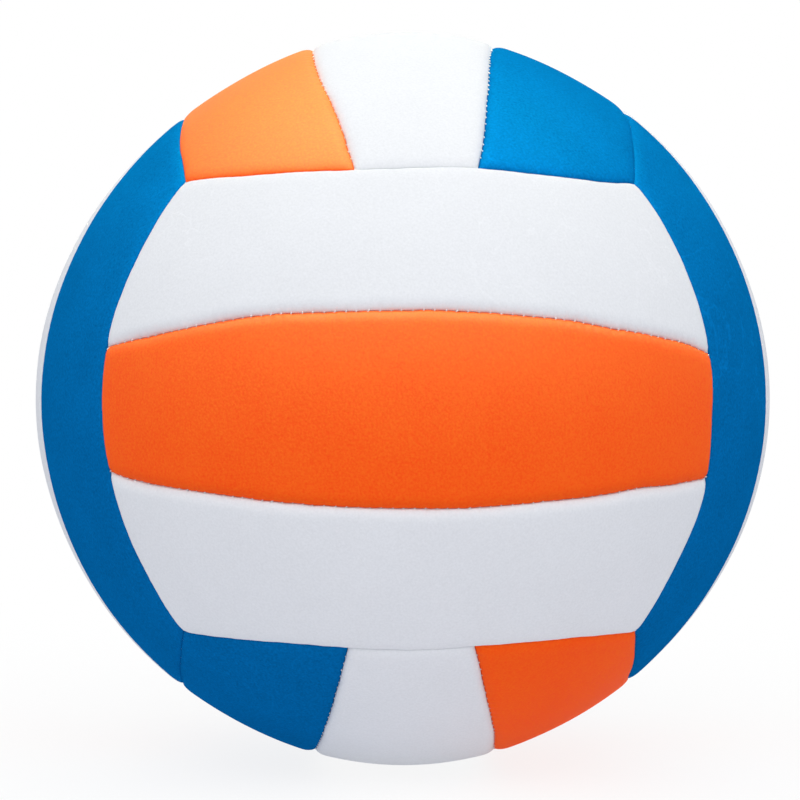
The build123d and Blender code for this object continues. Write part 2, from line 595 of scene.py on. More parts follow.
@dataclass(frozen=True)
class SeamSewing:
    """How one kind of seam is sewn.

    Attributes:
        thread: its thread's name.
        deep: how deep its valley is, as a share of a layer's roll.
        drawn: how far a stitch draws the skin in.
        rise: how far the thread rises above the bottom of the valley.
    """

    thread: str
    deep: float
    drawn: float
    rise: float


class SeamKind(Enum):
    """The two kinds of seam: between the strips of a group, and between groups."""

    STRIP = SeamSewing("strip_seam_threads", 1.4, 0.16 * MM, 0.58 * MM)
    END = SeamSewing("group_seam_threads", 0.72, 0.03 * MM, -0.16 * MM)


@dataclass(frozen=True)
class SeamPlace:
    """How points lie to one seam.

    Attributes:
        inside: how far inside the seam they are.
        along: how far along it they are, from its middle.
        length: the seam's length.
        kind: the seam's kind.
    """

    inside: Array
    along: Array
    length: float
    kind: SeamKind


@dataclass(frozen=True)
class SeamLine:
    """Points along a seam on the unit ball, with the ways along and across it at each."""

    points: Array
    along: Array
    across: Array


@dataclass(frozen=True)
class SeamLayout:
    """Where the seams of one group of strips lie on the unit ball.

    The group faces +Z and its strips run along X. A point has two angles: its lean, towards +X, and its
    turn, about X and towards +Y. The seams beside the middle strip are at a fixed turn. The seam at a
    group's end is a circle on the ball through two corners of a cube, and is also the outer seam of the
    next group's side strip.
    """

    end_angle: float = math.radians(52.6)
    strip_turn: float = math.radians(14.3)
    corner_share: float = 1 / math.sqrt(3)

    @property
    def tilt(self) -> float:
        """How far the end circle's axis leans back from the group's middle."""
        share = self.corner_share
        return math.atan2(math.cos(self.end_angle) - share, math.sin(self.end_angle) - share)

    @property
    def circle(self) -> float:
        """The angle from the end circle's axis to the circle."""
        return self.end_angle + self.tilt

    @property
    def circle_radius(self) -> float:
        """The end circle's radius, in metres."""
        return BALL_RADIUS * math.sin(self.circle)

    @property
    def strip_length(self) -> float:
        """The length of a seam beside the middle strip, in metres."""
        return 2 * BALL_RADIUS * float(self.end_lean(np.asarray(self.strip_turn)))

    @property
    def end_length(self) -> float:
        """The length of an end seam, in metres."""
        return 2 * self.circle_radius * self.corner_turn

    @property
    def corner_turn(self) -> float:
        """How far round its circle an end seam runs, from its middle to a corner."""
        return math.atan(1 / (math.cos(self.tilt) + math.sin(self.tilt)))

    def points(self, lean: Array, turn: Array) -> Array:
        """Points on the unit ball at these angles."""
        return np.stack([np.sin(lean), np.cos(lean) * np.sin(turn), np.cos(lean) * np.cos(turn)], -1)

    def end_lean(self, turn: Array) -> Array:
        """The lean of the end seam at these turns."""
        rise, fall = math.cos(self.tilt) * np.cos(turn), math.sin(self.tilt)
        return np.arccos(math.cos(self.circle) / np.hypot(rise, fall)) - np.arctan2(fall, rise)

    def outer_turn(self, lean: Array) -> Array:
        """The turn of a side strip's outer seam at these leans."""
        return self.tilt + np.arcsin(math.cos(self.circle) / np.cos(lean))

    def strip_angles(self, middle: bool, long: Array, wide: Array) -> tuple[Array, Array]:
        """The angles of points of a strip.

        Args:
            middle: whether it is the middle strip, and else the one on the +Y side.
            long: places along the strip, from -1 to 1 at its end seams.
            wide: places across it, from -1 to 1 at its long seams.

        Returns:
            Their leans and turns.
        """
        if middle:
            turn = wide * self.strip_turn
            return long * self.end_lean(turn), turn
        share = (wide + 1) / 2
        corner_lean = math.asin(self.corner_share)
        corner_turn = math.pi / 4
        side_turn = self.strip_turn + share * (corner_turn - self.strip_turn)
        outer_turn = self.outer_turn(long * corner_lean)
        return long * self.end_lean(side_turn), (1 - share) * self.strip_turn + share * outer_turn

    def seams_round(self, middle: bool, points: Array) -> list[SeamPlace]:
        """How points lie to the four seams round a strip.

        Args:
            middle: whether it is the middle strip, and else the one on the +Y side.
            points: points of the unit ball.

        Returns:
            Their places to its two long seams and then its two end seams, in metres.
        """
        x, y, z = points[..., 0], points[..., 1], points[..., 2]
        lean = BALL_RADIUS * np.arcsin(np.clip(x, -1, 1))
        turn_cos, turn_sin = math.cos(self.strip_turn), math.sin(self.strip_turn)
        tilt_cos, tilt_sin = math.cos(self.tilt), math.sin(self.tilt)
        past = [np.arcsin(side * y * turn_cos - z * turn_sin) for side in (1, -1)]
        if middle:
            places = [
                SeamPlace(-BALL_RADIUS * beyond, lean, self.strip_length, SeamKind.STRIP) for beyond in past
            ]
        else:
            off_axis = np.arccos(np.clip(y * tilt_cos - z * tilt_sin, -1, 1))
            round_it = self.circle_radius * np.arctan2(x, y * tilt_sin + z * tilt_cos)
            outer_inside = BALL_RADIUS * (off_axis - self.circle)
            places = [
                SeamPlace(BALL_RADIUS * past[0], lean, self.strip_length, SeamKind.STRIP),
                SeamPlace(outer_inside, round_it, self.end_length, SeamKind.END),
            ]
        for end in (1, -1):
            off_axis = np.arccos(np.clip(z * tilt_cos - end * x * tilt_sin, -1, 1))
            round_it = self.circle_radius * np.arctan2(y, end * x * tilt_cos + z * tilt_sin)
            inside = BALL_RADIUS * (self.circle - off_axis)
            places.append(SeamPlace(inside, round_it, self.end_length, SeamKind.END))
        return places

    def strip_seam(self, along: Array) -> SeamLine:
        """The seam on the +Y side of the middle strip.

        Args:
            along: distances along it from its middle.

        Returns:
            The seam there.
        """
        lean = along / BALL_RADIUS
        turn = np.full_like(lean, self.strip_turn)
        flat = np.zeros_like(lean)
        onward = np.stack([np.cos(lean), -np.sin(lean) * np.sin(turn), -np.sin(lean) * np.cos(turn)], -1)
        across = np.stack([flat, np.cos(turn), -np.sin(turn)], -1)
        return SeamLine(self.points(lean, turn), onward, across)

    def end_seam(self, along: Array) -> SeamLine:
        """The seam at the +X end.

        Args:
            along: distances along it from its middle.

        Returns:
            The seam there.
        """
        turn = along / self.circle_radius
        axis = np.array([-math.sin(self.tilt), 0, math.cos(self.tilt)])
        out = np.array([math.cos(self.tilt), 0, math.sin(self.tilt)])
        side = np.array([0.0, 1.0, 0.0])
        spoke = np.cos(turn)[:, None] * out + np.sin(turn)[:, None] * side
        onward = np.cos(turn)[:, None] * side - np.sin(turn)[:, None] * out
        points = math.cos(self.circle) * axis + math.sin(self.circle) * spoke
        across = math.cos(self.circle) * spoke - math.sin(self.circle) * axis
        return SeamLine(points, onward, across)


@dataclass
class Ripples:
    """A smooth random field on the ball, between about -1 and 1: sine waves in fixed directions."""

    seed: int
    wavelength: float
    count: int = 10
    stretch: Range = (0.7, 1.35)
    waves: Array = field(init=False)
    starts: Array = field(init=False)

    def __post_init__(self) -> None:
        """Draws the waves."""
        draw = np.random.default_rng(self.seed)
        ways = draw.normal(size=(self.count, 3))
        ways /= np.linalg.norm(ways, axis=1, keepdims=True)
        stretch = draw.uniform(*self.stretch, size=(self.count, 1))
        self.waves = ways * stretch * 2 * math.pi * BALL_RADIUS / self.wavelength
        self.starts = draw.uniform(0, 2 * math.pi, self.count)

    def at(self, points: Array) -> Array:
        """The field at points of the unit ball."""
        return np.sin(points @ self.waves.T + self.starts).sum(-1) / math.sqrt(self.count)


@dataclass(frozen=True)
class Pull:
    """A place where the sewing draws the cover a little to the east, to the north and outwards.

    The place is in degrees: its longitude from the front towards +X, and its latitude towards +Z. The pull
    is in millimetres and fades out over its reach.
    """

    longitude: float
    latitude: float
    east: float
    north: float
    out: float = 0.0
    reach: float = 27.0

    def ways(self) -> tuple[Array, Array, Array]:
        """Where the pull is and which ways it draws.

        Returns:
            Unit vectors to the place, and to the east and the north of it.
        """
        lon, lat = math.radians(self.longitude), math.radians(self.latitude)
        place = np.array([math.sin(lon) * math.cos(lat), -math.cos(lon) * math.cos(lat), math.sin(lat)])
        east = np.array([math.cos(lon), math.sin(lon), 0.0])
        return place, east, np.cross(place, east)


FRONT_PULLS = (
    Pull(-52, 9, -0.25, 0.0),
    Pull(52, 9, -0.85, -0.2),
    Pull(-52, -10, 1.0, -1.3),
    Pull(53, -11, 0.8, -2.0),
    Pull(-17, 14, 0.0, 1.1),
    Pull(-12, -13, 0.1, 1.2),
    Pull(13, -13, 0.1, 1.05),
    Pull(-36, 64, -1.3, -0.9),
    Pull(-11, 39, 1.05, 0.2),
    Pull(31, 64, -1.25, 0.7),
    Pull(13, 39, 1.1, 1.1),
    Pull(29, -62, 0.95, 0.55),
    Pull(13, -39, 0.55, 0.1),
    Pull(-47, 24, 1.2, -0.1),
    Pull(47, 24, -0.6, 0.0),
    Pull(-47, -23, 1.1, -0.2),
    Pull(47, -23, -0.5, 0.55),
    Pull(-26, 36, 0.0, -0.8),
    Pull(28, 37, 0.0, -0.95),
    Pull(29, -37, 0.0, 0.75),
    Pull(-27, -37, 0.0, 0.5),
    Pull(53, -1, -2.0, 0.0, reach=12),
    Pull(52.5, 8, 0.0, -0.75, reach=7),
    Pull(46, 10, 0.0, 0.35, reach=8),
    Pull(30.5, 12.5, 0.0, -0.5, reach=8),
    Pull(52.5, -10, 0.0, -1.1, reach=7),
    Pull(36, -11.5, 0.0, 0.8, reach=9),
    Pull(38.5, 35, 0.0, -0.7, reach=6),
    Pull(-13, -49, 0.4, 0.0, reach=20),
)

CORNER_PULLS = (
    Pull(-45, 35, -0.3, 0.5),
    Pull(45, 36, 1.25, -0.15),
    Pull(-45, -36, -0.55, -1.35),
    Pull(47, -36, 2.35, -0.7),
    Pull(-45, 35, -1.2, 0.6, reach=13),
    Pull(46, 35, 0.9, 1.25, reach=13),
    Pull(-46, -36, -1.5, 0.0, reach=13),
    Pull(47, -36, 2.15, -0.8, reach=13),
    Pull(-55, 43, -1.2, -1.0, reach=13),
    Pull(-56, -44, -1.0, 0.9, reach=13),
    Pull(57, -44, 0.7, 0.7, reach=13),
    Pull(48, -37, 0.5, -0.9, reach=10),
    Pull(82, -49, 0.0, 3.2, reach=15),
    Pull(64, -71, 0.65, 1.25, reach=6),
    Pull(82, 51, 0.0, 3.4, reach=14),
)

SIDE_PULLS = (
    Pull(-73, 0, -1.6, 0.0),
    Pull(-76, 17, -1.0, 0.0),
    Pull(-76, -23, -2.0, 0.0),
    Pull(70, 1, 1.2, -0.4),
    Pull(76, 22, 2.4, 0.0),
    Pull(76, 46, 2.0, 0.0),
    Pull(76, -38, -1.2, 0.0),
    Pull(-75, 28, -0.9, 0.0),
    Pull(-75, 0, -0.9, 0.0),
    Pull(-75, -28, -0.9, 0.0),
    Pull(-90, 82, 0.0, 0.0, -0.3),
    Pull(-90, 62, 0.0, 0.0, -1.5),
    Pull(-90, 46, 0.0, 0.0, -1.4),
    Pull(-90, 30, 0.0, 0.0, -0.45),
    Pull(-90, -60, 0.0, 0.0, -0.6),
    Pull(90, 62, 0.0, 0.0, -0.4),
    Pull(90, 40, 0.0, 0.0, 0.6),
    Pull(90, 10, 0.0, 0.0, 0.25),
    Pull(90, -20, 0.0, 0.0, 0.25),
    Pull(90, -42, 0.0, 0.0, -0.5),
    Pull(90, -60, 0.0, 0.0, -0.4),
)


@dataclass
class Drift:
    """How far the sewing of this ball is from even: pulls that fade out over a short reach."""

    pulls: tuple[Pull, ...] = FRONT_PULLS + CORNER_PULLS + SIDE_PULLS
    places: Array = field(init=False)
    pushes: Array = field(init=False)
    outs: Array = field(init=False)
    reaches: Array = field(init=False)

    def __post_init__(self) -> None:
        """Lays the pulls out as arrays."""
        ways = [pull.ways() for pull in self.pulls]
        self.places = np.array([place for place, _, _ in ways])
        self.pushes = MM * np.array([
            pull.east * east + pull.north * north for pull, (_, east, north) in zip(self.pulls, ways)
        ])
        self.outs = MM * np.array([pull.out for pull in self.pulls])
        self.reaches = MM * np.array([pull.reach for pull in self.pulls])

    def shares(self, points: Array) -> Array:
        """How much of each pull reaches points of the unit ball."""
        squared = 2 - 2 * points @ self.places.T
        return np.exp(-squared * (BALL_RADIUS / self.reaches) ** 2)

    def sideways(self, points: Array) -> Array:
        """How far the cover is drawn along the ball at points of the unit ball."""
        return self.shares(points) @ self.pushes

    def outwards(self, points: Array) -> Array:
        """How far the cover is drawn outwards at points of the unit ball."""
        return self.shares(points) @ self.outs


@dataclass(frozen=True)
class Layer:
    """A layer of the cover: how deep it lies, where its edge is, and how that edge rolls down."""

    drop: float
    edge: float
    roll_width: float
    roll_depth: float

    def depth(self, inside: Array, steeper: Array | float) -> Array:
        """How far below the cover the layer is, at distances inside the seams."""
        reach = 1 - np.clip((inside - self.edge) / self.roll_width, 0, 1)
        return self.drop + self.roll_depth * steeper * (1 - np.sqrt(1 - reach**2))


class CoverLayer(Enum):
    """The layers that a strip is made of."""

    OUTSIDE = Layer(0.0, 0.0, 3.5 * MM, 1.2 * MM)
    LINING = Layer(1.0 * MM, 1.0 * MM, 2.5 * MM, 0.5 * MM)
    FOAM = Layer(1.1 * MM, 1.1 * MM, 2.4 * MM, 0.45 * MM)


@dataclass
class CoverForm:
    """The form of the sewn cover: its dips, rolled edges, puckers and the wander of its seams."""

    layout: SeamLayout = field(default_factory=SeamLayout)
    dip: float = 1.15 * MM
    dip_start: float = 1.6
    corner_blend: float = 1.8 * MM
    deep_blend: float = 1.6 * MM
    stitch_pitch: float = 2.9 * MM
    pucker_reach: float = 1.9 * MM
    uneven: float = 0.05 * MM
    uneven_roll: float = 0.10
    uneven_pull: float = 0.6
    long_wander: float = 0.30 * MM
    short_wander: float = 0.05 * MM
    quiet_radius: float = 20 * MM
    drift: Drift = field(default_factory=Drift)
    swell: Ripples = field(default_factory=lambda: Ripples(11, 24 * MM))
    roll_swell: Ripples = field(default_factory=lambda: Ripples(12, 17 * MM))
    pull: Ripples = field(default_factory=lambda: Ripples(13, 9 * MM))
    long_ways: tuple = field(default_factory=lambda: tuple(Ripples(20 + i, 45 * MM) for i in range(3)))
    short_ways: tuple = field(default_factory=lambda: tuple(Ripples(30 + i, 7 * MM) for i in range(3)))

    def stitch_count(self, length: float) -> int:
        """How many stitches a seam of that length has."""
        return round(length / self.stitch_pitch)

    def crown(self, points: Array) -> Array:
        """The radius of the cover away from its seams, which dips between the middles of the groups.

        Args:
            points: points of the unit ball.

        Returns:
            The radius at each point.
        """
        # 0 in the middle of a group, and 1 halfway to the middle of the next
        off_middle = (1 - (points**4).sum(-1)) * 2
        fall = off_middle * (self.dip_start - (self.dip_start - 1) * off_middle)
        swell = self.uneven * (self.swell.at(points) - 1) * 0.5
        return BALL_RADIUS - self.dip * fall + swell + self.drift.outwards(points)

    def inside_all(self, places: Sequence[SeamPlace]) -> Array:
        """How far inside the nearest seam points are, rounded off at the corners.

        Args:
            places: how the points lie to each seam.

        Returns:
            The distance of each point.
        """
        nearest = places[0].inside
        for place in places[1:]:
            near = np.clip(self.corner_blend - np.abs(nearest - place.inside), 0, None) / self.corner_blend
            nearest = np.minimum(nearest, place.inside) - near**2 * self.corner_blend / 4
        return nearest

    def deepness(self, places: Sequence[SeamPlace]) -> Array:
        """How deep the valleys near points are, as a share of a layer's roll.

        Args:
            places: how the points lie to each seam.

        Returns:
            The share at each point.
        """
        near = np.stack([np.exp(-np.clip(place.inside, 0, None) / self.deep_blend) for place in places])
        deep = np.array([place.kind.value.deep for place in places])
        return np.tensordot(deep, near, 1) / np.clip(near.sum(0), LEAST_SUM, None)

    def puckers(self, places: Sequence[SeamPlace], points: Array) -> Array:
        """How deep the stitches draw the skin in.

        Args:
            places: how the points lie to each seam.
            points: the points, on the unit ball.

        Returns:
            The depth at each point.
        """
        drawn = np.zeros(points.shape[:-1])
        for place in places:
            cycles = (place.along / place.length + 0.5) * self.stitch_count(place.length)
            reach = np.exp(-((place.inside / self.pucker_reach) ** 2))
            drawn += place.kind.value.drawn * reach * (0.5 - 0.5 * np.cos(2 * math.pi * cycles)) ** 2
        return drawn * (1 + self.uneven_pull * self.pull.at(points))

    def valley(self, kind: SeamKind, points: Array) -> Array:
        """The radius of the bottom of a seam's valley, where a stitch draws it in.

        Args:
            kind: the kind of seam.
            points: points of that seam, on the unit ball.

        Returns:
            The radius at each point.
        """
        sewing = kind.value
        roll = CoverLayer.OUTSIDE.value.roll_depth * sewing.deep
        rolled = roll * (1 + self.uneven_roll * self.roll_swell.at(points))
        drawn = sewing.drawn * (1 + self.uneven_pull * self.pull.at(points))
        return self.crown(points) - rolled - drawn

    def moved(self, points: Array) -> Array:
        """Moves points as the hand-sewn seams wander. Nothing moves near the valve.

        Args:
            points: points of the unit ball.

        Returns:
            The moved points, on the unit ball.
        """
        push = self.drift.sideways(points)
        push += self.long_wander * np.stack([way.at(points) for way in self.long_ways], -1)
        push += self.short_wander * np.stack([way.at(points) for way in self.short_ways], -1)
        to_valve = np.linalg.norm(points - VALVE_WAY, axis=-1) * BALL_RADIUS
        push *= (1 - np.exp(-((to_valve / self.quiet_radius) ** 4)))[..., None]
        push -= (push * points).sum(-1, keepdims=True) * points
        shifted = points + push / BALL_RADIUS
        return shifted / np.linalg.norm(shifted, axis=-1, keepdims=True)

    def radius(self, layer: CoverLayer, middle: bool, own: Array, points: Array) -> Array:
        """The radius of a layer of a strip.

        Args:
            layer: which layer.
            middle: whether the strip is its group's middle one.
            own: points of the unit ball, in the strip's own axes.
            points: the same points, in the ball's axes.

        Returns:
            The radius at each point.
        """
        places = self.layout.seams_round(middle, own)
        steeper = self.deepness(places) * (1 + self.uneven_roll * self.roll_swell.at(points))
        radius = self.crown(points) - layer.value.depth(self.inside_all(places), steeper)
        if layer is CoverLayer.OUTSIDE:
            radius = radius - self.puckers(places, points)
        return radius


# Meshes


def ring_piece(name: str, rows: Sequence[Array], closed: bool) -> bpy.types.Object:
    """Makes a piece from rings of points.

    Args:
        name: the piece's name.
        rows: rings with the same number of points. A ring may be drawn together to a line or a point.
        closed: whether the last ring joins the first, as on a piece with a hole.

    Returns:
        The smooth piece, in the scene.
    """
    points = np.concatenate(rows)
    count = len(rows[0])
    row = np.arange(len(rows) if closed else len(rows) - 1)[:, None] * count
    here = np.arange(count)[None, :]
    after = (here + 1) % count
    below = (row + count) % len(points)
    quads = np.stack([row + here, row + after, below + after, below + here], -1).reshape(-1, 4)
    return finished_piece(name, points, quads.tolist())


def finished_piece(name: str, points: Array, faces: list) -> bpy.types.Object:
    """Makes a smooth piece, with doubled points joined and faces turned outwards.

    Args:
        name: the piece's name.
        points: its points.
        faces: its faces, as numbers of points.

    Returns:
        The piece, in the scene.
    """
    mesh = bpy.data.meshes.new(name)
    mesh.from_pydata(points.tolist(), [], faces)
    work = bmesh.new()
    work.from_mesh(mesh)
    bmesh.ops.remove_doubles(work, verts=work.verts, dist=JOIN_DISTANCE)
    bmesh.ops.recalc_face_normals(work, faces=work.faces)
    work.to_mesh(mesh)
    work.free()
    mesh.shade_smooth()
    piece = bpy.data.objects.new(name, mesh)
    bpy.context.scene.collection.objects.link(piece)
    return piece


def turned_piece(name: str, profile: Sequence[tuple[float, float]], steps: int) -> bpy.types.Object:
    """Makes a piece that is round about the valve's axis.

    Args:
        name: the piece's name.
        profile: its closed outline, as distances from the axis and heights along it.
        steps: how many steps it has round the axis.

    Returns:
        The piece, in the scene.
    """
    turn = np.linspace(0, 2 * math.pi, steps, endpoint=False)
    rows = [
        np.stack([wide * np.cos(turn), np.full(steps, high), wide * np.sin(turn)], -1)
        for wide, high in profile
    ]
    return ring_piece(name, rows, closed=True)


class Strip(Enum):
    """Which strip of its group a panel is, from the group's +Y side."""

    FIRST = 1
    MIDDLE = 0
    LAST = -1


@dataclass(frozen=True)
class Group:
    """One of the six groups: the way its strips run, the way it faces, and its strips' names and skins."""

    name: str
    along: tuple[int, int, int]
    facing: tuple[int, int, int]
    strips: tuple[str, str, str]
    skins: tuple[Skin, Skin, Skin]

    def axes(self, strip: Strip) -> Array:
        """The axes that a strip is laid out in.

        Args:
            strip: which strip of the group.

        Returns:
            The group's axes as rows, half a turn round for its last strip.
        """
        along = np.array(self.along, float)
        facing = np.array(self.facing, float)
        across = np.cross(facing, along)
        if strip is Strip.LAST:
            along, across = -along, -across
        return np.stack([along, across, facing])


LEVELS = ("upper", "middle", "lower")

GROUPS = (
    Group("front", (1, 0, 0), (0, -1, 0), LEVELS, (Skin.WHITE, Skin.ORANGE, Skin.WHITE)),
    Group("back", (-1, 0, 0), (0, 1, 0), LEVELS, (Skin.WHITE, Skin.BLUE, Skin.WHITE)),
    Group("top", (0, 1, 0), (0, 0, 1), ("left", "middle", "right"), (Skin.ORANGE, Skin.WHITE, Skin.BLUE)),
    Group("bottom", (0, 1, 0), (0, 0, -1), ("right", "middle", "left"), (Skin.ORANGE, Skin.WHITE, Skin.BLUE)),
    Group("left", (0, 0, 1), (-1, 0, 0), ("back", "middle", "front"), (Skin.ORANGE, Skin.WHITE, Skin.BLUE)),
    Group("right", (0, 0, 1), (1, 0, 0), ("front", "middle", "back"), (Skin.BLUE, Skin.WHITE, Skin.ORANGE)),
)


@dataclass
class CoverStrip:
    """One cover strip: a skin that turns in at the seams, and the foam pad that it is drawn over."""

    form: CoverForm
    group: Group
    strip: Strip
    name: str
    skin: Skin
    half_length: float = 95 * MM
    half_width_middle: float = 26 * MM
    half_width_side: float = 21 * MM
    hole_lip: float = 0.6 * MM
    pocket_radius: float = 19.1 * MM
    pocket_ceiling: float = 102.45 * MM
    skin_steps: tuple[int, int] = (272, 74)
    pad_steps: tuple[int, int] = (96, 30)
    # How far rings are drawn in from the outline, in millimetres
    rim_insets: tuple = (0.04, 0.16, 0.32, 0.52, 0.75, 1.05, 1.45, 1.95, 2.6, 3.4, 4.4, 5.8, 7.6)
    lining_insets: tuple = (1.1, 1.4, 2.0, 3.0, 4.6, 7.6)
    pad_insets: tuple = (1.2, 1.45, 1.9, 2.6, 3.6, 5.0, 7.6)
    foot_insets: tuple = (1.2, 2.2, 5.0)
    # Where rings lie between two others, as shares of the way
    core_shares: tuple = (0.14, 0.30, 0.47, 0.64, 0.82, 1.0)
    inner_shares: tuple = (0.33, 0.67, 1.0)
    skin_wall_shares: tuple = (0.35, 0.7, 1.0)
    pad_wall_shares: tuple = (0.3, 0.65)
    # How steep the rolled edge of the valve hole is at its rings, in degrees
    lip_slopes: tuple = (90, 65, 40, 18)

    @property
    def middle(self) -> bool:
        """Whether this is its group's middle strip."""
        return self.strip is Strip.MIDDLE

    @property
    def has_valve(self) -> bool:
        """Whether the valve shows in this strip."""
        return self.middle and self.group.name == "back"

    @property
    def half_width(self) -> float:
        """About half of the strip's width."""
        return self.half_width_middle if self.middle else self.half_width_side

    def outline(self, steps: tuple[int, int]) -> tuple[Array, Array]:
        """The strip's outline as places along and across it, from -1 to 1.

        Args:
            steps: how many steps a long side and an end have.

        Returns:
            The places along it and the places across it.
        """
        side = np.linspace(-1, 1, steps[0], endpoint=False)
        end = np.linspace(-1, 1, steps[1], endpoint=False)
        one_side = np.ones_like(side)
        one_end = np.ones_like(end)
        along = np.concatenate([side, one_end, -side, -one_end])
        across = np.concatenate([-one_side, end, one_side, -end])
        return along, across

    def inset_ring(self, steps: tuple[int, int], inset: float) -> Array:
        """A ring drawn in from the outline.

        Args:
            steps: how many steps a long side and an end have.
            inset: how far it is drawn in.

        Returns:
            The angles of its points.
        """
        long, wide = self.outline(steps)
        long = long * (1 - inset / self.half_length)
        wide = wide * (1 - inset / self.half_width)
        return np.stack(self.form.layout.strip_angles(self.middle, long, wide))

    def inset_rings(self, steps: tuple[int, int], insets: Sequence[float]) -> list[Array]:
        """The angles of rings drawn in from the outline by distances in millimetres."""
        return [self.inset_ring(steps, inset * MM) for inset in insets]

    def core(self, steps: tuple[int, int], hole: float) -> Array:
        """The innermost ring: the strip's middle line, or a circle round the valve.

        Args:
            steps: how many steps a long side and an end have.
            hole: the circle's radius.

        Returns:
            The angles of its points.
        """
        long, wide = self.outline(steps)
        if self.has_valve:
            turn = np.arctan2(wide, long)
            return hole / BALL_RADIUS * np.stack([np.cos(turn), np.sin(turn)])
        long = long * (1 - self.half_width / self.half_length)
        return np.stack(self.form.layout.strip_angles(self.middle, long, 0 * wide))

    def laid(self, ring: Array, layer: CoverLayer) -> Array:
        """Lays a ring on a layer.

        Args:
            ring: the angles of its points.
            layer: the layer.

        Returns:
            Its points, in the ball's axes.
        """
        own, points = self.on_ball(ring)
        radius = self.form.radius(layer, self.middle, own, points)
        return self.form.moved(points) * radius[:, None]

    def at_radius(self, ring: Array, radius: float) -> Array:
        """A ring of angles at one radius, as points in the ball's axes."""
        return self.form.moved(self.on_ball(ring)[1]) * radius

    def on_ball(self, ring: Array) -> tuple[Array, Array]:
        """A ring's points on the unit ball, in the strip's own axes and in the ball's."""
        own = self.form.layout.points(*ring)
        return own, own @ self.group.axes(self.strip)

    def between(self, start: Array, end: Array, shares: Sequence[float]) -> list[Array]:
        """Rings between two others, of angles or of points, at shares of the way."""
        return [start + (end - start) * share for share in shares]

    def build_skin(self) -> bpy.types.Object:
        """Builds the skin: outside, turned-in edge, lining, and the valve hole's rolled edge if it has one.

        Returns:
            The skin.
        """
        steps = self.skin_steps
        rings = self.inset_rings(steps, self.rim_insets)
        core = self.core(steps, VALVE_HOLE_RADIUS + self.hole_lip)
        outer_rings = rings + self.between(rings[-1], core, self.core_shares)
        outer = [self.laid(ring, CoverLayer.OUTSIDE) for ring in outer_rings]
        lining_rings = self.inset_rings(steps, self.lining_insets)
        lining_core = self.core(steps, VALVE_HOLE_RADIUS)
        lining_rings += self.between(lining_rings[-1], lining_core, self.inner_shares)
        lining = [self.laid(ring, CoverLayer.LINING) for ring in lining_rings]
        foot = self.at_radius(rings[0], COVER_INNER_RADIUS)
        inner_foot = self.at_radius(lining_rings[0], COVER_INNER_RADIUS)
        rows = list(reversed(outer))
        rows += self.between(outer[0], foot, self.skin_wall_shares)
        rows += [inner_foot]
        rows += self.between(inner_foot, lining[0], HALFWAY)
        rows += lining
        if self.has_valve:
            rows += self.rolled_hole(steps, lining[-1])
        return ring_piece(f"{self.name}_skin_cover", rows, closed=self.has_valve)

    def rolled_hole(self, steps: tuple[int, int], lining: Array) -> list[Array]:
        """The wall of the valve hole and its rounded edge.

        Args:
            steps: how many steps a long side and an end have.
            lining: the lining's ring at the hole.

        Returns:
            Rings up the wall and over the edge.
        """
        rows = []
        for degrees in self.lip_slopes:
            slope = math.radians(degrees)
            ring = self.core(steps, VALVE_HOLE_RADIUS + self.hole_lip * (1 - math.sin(slope)))
            drop = self.hole_lip * (1 - math.cos(slope))
            laid = self.laid(ring, CoverLayer.OUTSIDE)
            rows.append(laid * (1 - drop / BALL_RADIUS))
        return self.between(lining, rows[0], HALFWAY) + rows

    def build_pad(self) -> bpy.types.Object:
        """Builds the foam pad, with the hole and pocket for the valve if it has one.

        Returns:
            The pad.
        """
        steps = self.pad_steps
        rings = self.inset_rings(steps, self.pad_insets)
        core = self.core(steps, VALVE_HOLE_RADIUS)
        upper_rings = rings + self.between(rings[-1], core, self.core_shares)
        upper = [self.laid(ring, CoverLayer.FOAM) for ring in upper_rings]
        foot_rings = self.inset_rings(steps, self.foot_insets)
        foot = self.at_radius(foot_rings[0], COVER_INNER_RADIUS)
        rows = list(reversed(upper))
        rows += self.between(upper[0], foot, self.pad_wall_shares)
        rows += [self.at_radius(ring, COVER_INNER_RADIUS) for ring in foot_rings]
        if self.has_valve:
            pocket = self.core(steps, self.pocket_radius)
            floor = self.between(foot_rings[-1], pocket, self.inner_shares)
            ceiling = self.between(pocket, core, self.inner_shares)
            rows += [self.at_radius(ring, COVER_INNER_RADIUS) for ring in floor]
            rows += [self.at_radius(ring, self.pocket_ceiling) for ring in [pocket] + ceiling]
            rows += self.between(rows[-1], rows[0], HALFWAY)
        else:
            floor = self.between(foot_rings[-1], core, self.inner_shares)
            rows += [self.at_radius(ring, COVER_INNER_RADIUS) for ring in floor]
        return ring_piece(f"{self.name}_foam_pad", rows, closed=self.has_valve)

    def build(self, wardrobe: Wardrobe) -> None:
        """Builds and dresses the strip's two pieces.

        Args:
            wardrobe: what dresses them.
        """
        skin = self.build_skin()
        wardrobe.dress(skin, self.skin)
        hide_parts(f"{self.name}_skin")
        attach(skin, "ball")
        pad = self.build_pad()
        wardrobe.dress(pad, Fitting.FOAM)
        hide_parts(f"{self.name}_pad")
        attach(pad, "ball")
        faces = len(skin.data.polygons), len(pad.data.polygons)
        log.info("%s: skin of %d faces, pad of %d", self.name, *faces)


